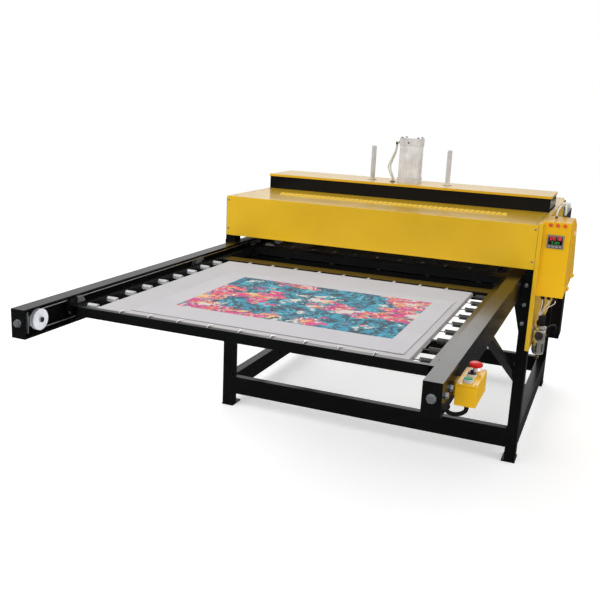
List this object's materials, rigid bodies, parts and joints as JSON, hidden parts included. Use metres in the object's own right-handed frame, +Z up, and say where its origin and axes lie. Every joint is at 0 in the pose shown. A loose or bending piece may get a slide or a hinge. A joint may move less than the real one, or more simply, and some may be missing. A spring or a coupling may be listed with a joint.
{
  "type": "pneumatic heat press with shuttle tables",
  "caption": "Large-format pneumatic heat press: heated platen under a yellow housing, and two spring-hung tables on a shuttle that rolls along long rails.",
  "frame": {"origin": "Centre of the press on the floor: the middle of the four anchor holes in the foot plates, under the air cylinder.", "axes": "+Z up; +Y along the rails, from the loading end at the front to the rear; +X to the right as seen from the front, on the control cabinet side."},
  "size_m": [1.682, 4.491, 1.447],
  "materials": {
    "frame_black": "gloss black enamel",
    "body_yellow": "gloss golden yellow enamel",
    "zinc": "bright zinc plate",
    "steel": "machined steel",
    "chrome": "hard chrome, polished",
    "aluminium": "satin anodised",
    "heater_aluminium": "machined, dulled by heat",
    "bronze": "machined bronze",
    "board": "pressed insulation board",
    "felt_pale": "dense pale felt",
    "pad_dark": "dark silicone rubber, satin",
    "print_cloth": null,
    "black_plastic": "moulded",
    "grey_plastic": "moulded",
    "red_plastic": "moulded gloss",
    "green_plastic": "moulded gloss",
    "hose_black": "smooth hose",
    "hose_clear": "translucent polyurethane",
    "wheel_nylon": "cast nylon",
    "motor_paint": "grey-blue machine enamel",
    "wire_steel": "stranded wire cable"
  },
  "bodies": {
    "machine": {"uprights": "frame_black", "frame_beams": "frame_black", "rail_left": "frame_black", "rail_right": "frame_black", "rail_supports": "frame_black", "cable_tensioners": "zinc", "bed_beams": "frame_black", "bed_plate": "steel", "crosshead": "frame_black", "top_lid": "body_yellow", "front_cover": "body_yellow", "rear_cover": "body_yellow", "side_panel_left": "body_yellow", "side_panel_right": "body_yellow", "fasteners": "zinc", "guide_bushings": "bronze", "cylinder_barrel": "aluminium", "cylinder_caps": "aluminium", "cylinder_hoses": "hose_clear", "cabinet_shell": "body_yellow", "cabinet_electrics": "grey_plastic", "pilot_lamps": "red_plastic", "temperature_controller": "grey_plastic", "button_box": "body_yellow", "button_bezels": "chrome", "conduit": "hose_black", "air_unit": "aluminium", "valve_box": "frame_black", "air_tubes": "hose_clear", "gearmotor": "motor_paint", "shaft_bearings": "steel", "drive_cables": "wire_steel"},
    "shuttle": {"shuttle_side_members": "frame_black", "shuttle_cross_beams": "frame_black", "front_springs": "zinc", "rear_springs": "zinc", "cable_clamps": "zinc"},
    "front_pad": {"front_pad_plate": "aluminium", "front_pad": "felt_pale", "print_sheet": "print_cloth"},
    "rear_pad": {"rear_pad_plate": "aluminium", "rear_pad": "pad_dark"},
    "wheels_1": {"wheels_1": "wheel_nylon"},
    "wheels_2": {"wheels_2": "wheel_nylon"},
    "wheels_3": {"wheels_3": "wheel_nylon"},
    "wheels_4": {"wheels_4": "wheel_nylon"},
    "idler_pulleys": {"idler_pulleys": "zinc"},
    "drive_shaft": {"drive_shaft": "steel"},
    "platen": {"heater_plate": "heater_aluminium", "insulation_board": "board", "platen_frame": "steel", "guide_posts": "chrome", "piston_rod": "chrome"},
    "cabinet_door": {"cabinet_door": "body_yellow"},
    "door_lock": {"door_lock": "chrome"},
    "start_button": {"start_button": "green_plastic"},
    "selector_knob": {"selector_knob": "black_plastic"},
    "estop_plunger": {"estop_plunger": "chrome"},
    "estop_head": {"estop_head": "red_plastic"},
    "regulator_knob": {"regulator_knob": "black_plastic"}
  },
  "joints": [
    {"name": "shuttle_slide", "type": "slide", "parent": "machine", "child": "shuttle", "axis": [0, 1, 0], "range_m": [0, 1.495]},
    {"name": "wheels_1_spin", "type": "hinge", "parent": "shuttle", "child": "wheels_1", "pos_m": [0, -1.935, 0.8515], "axis": [1, 0, 0], "range_deg": [-2144, 0]},
    {"name": "wheels_2_spin", "type": "hinge", "parent": "shuttle", "child": "wheels_2", "pos_m": [0, -1.055, 0.8515], "axis": [1, 0, 0], "range_deg": [-2144, 0]},
    {"name": "wheels_3_spin", "type": "hinge", "parent": "shuttle", "child": "wheels_3", "pos_m": [0, -0.44, 0.8515], "axis": [1, 0, 0], "range_deg": [-2144, 0]},
    {"name": "wheels_4_spin", "type": "hinge", "parent": "shuttle", "child": "wheels_4", "pos_m": [0, 0.44, 0.8515], "axis": [1, 0, 0], "range_deg": [-2144, 0]},
    {"name": "idler_spin", "type": "hinge", "parent": "machine", "child": "idler_pulleys", "pos_m": [0, -2.165, 0.858], "axis": [1, 0, 0], "range_deg": [-2598, 0]},
    {"name": "drive_shaft_spin", "type": "hinge", "parent": "machine", "child": "drive_shaft", "pos_m": [0, 2.165, 0.858], "axis": [1, 0, 0], "range_deg": [-2598, 0]},
    {"name": "platen_press", "type": "slide", "parent": "machine", "child": "platen", "axis": [0, 0, -1], "range_m": [0, 0.0695]},
    {"name": "front_pad_sink", "type": "slide", "parent": "shuttle", "child": "front_pad", "axis": [0, 0, -1], "range_m": [0, 0.0255], "stiffness_N_per_m": 30000, "springref_m": -0.016, "deforming": ["front_springs"]},
    {"name": "rear_pad_sink", "type": "slide", "parent": "shuttle", "child": "rear_pad", "axis": [0, 0, -1], "range_m": [0, 0.0255], "stiffness_N_per_m": 30000, "springref_m": -0.016, "deforming": ["rear_springs"]},
    {"name": "cabinet_door_hinge", "type": "hinge", "parent": "machine", "child": "cabinet_door", "pos_m": [0.901, -0.435, 0.821], "axis": [0, 1, 0], "range_deg": [0, 110]},
    {"name": "door_lock_turn", "type": "hinge", "parent": "cabinet_door", "child": "door_lock", "pos_m": [0.8965, -0.352, 1.068], "axis": [1, 0, 0], "range_deg": [0, 90]},
    {"name": "start_button_press", "type": "slide", "parent": "machine", "child": "start_button", "axis": [0, 0, -1], "range_m": [0, 0.0035], "stiffness_N_per_m": 800, "springref_m": -0.003},
    {"name": "selector_turn", "type": "hinge", "parent": "machine", "child": "selector_knob", "pos_m": [0.76, -2.055, 0.885], "axis": [0, 0, 1], "range_deg": [-45, 45]},
    {"name": "estop_press", "type": "slide", "parent": "machine", "child": "estop_plunger", "axis": [0, 0, -1], "range_m": [0, 0.006]},
    {"name": "estop_twist", "type": "hinge", "parent": "estop_plunger", "child": "estop_head", "pos_m": [0.76, -2, 0.895], "axis": [0, 0, 1], "range_deg": [0, 45], "stiffness_Nm_per_rad": 0.03, "springref_deg": -11.46},
    {"name": "regulator_turn", "type": "hinge", "parent": "machine", "child": "regulator_knob", "pos_m": [0.812, -0.565, 0.69], "axis": [0, 0, 1], "range_deg": [-720, 720]}
  ],
  "couplings": [
    {"joint": "wheels_1_spin", "follows": "shuttle_slide", "rad_per_m": -25},
    {"joint": "wheels_2_spin", "follows": "shuttle_slide", "rad_per_m": -25},
    {"joint": "wheels_3_spin", "follows": "shuttle_slide", "rad_per_m": -25},
    {"joint": "wheels_4_spin", "follows": "shuttle_slide", "rad_per_m": -25},
    {"joint": "idler_spin", "follows": "shuttle_slide", "rad_per_m": -30.303},
    {"joint": "drive_shaft_spin", "follows": "shuttle_slide", "rad_per_m": -30.303}
  ]
}
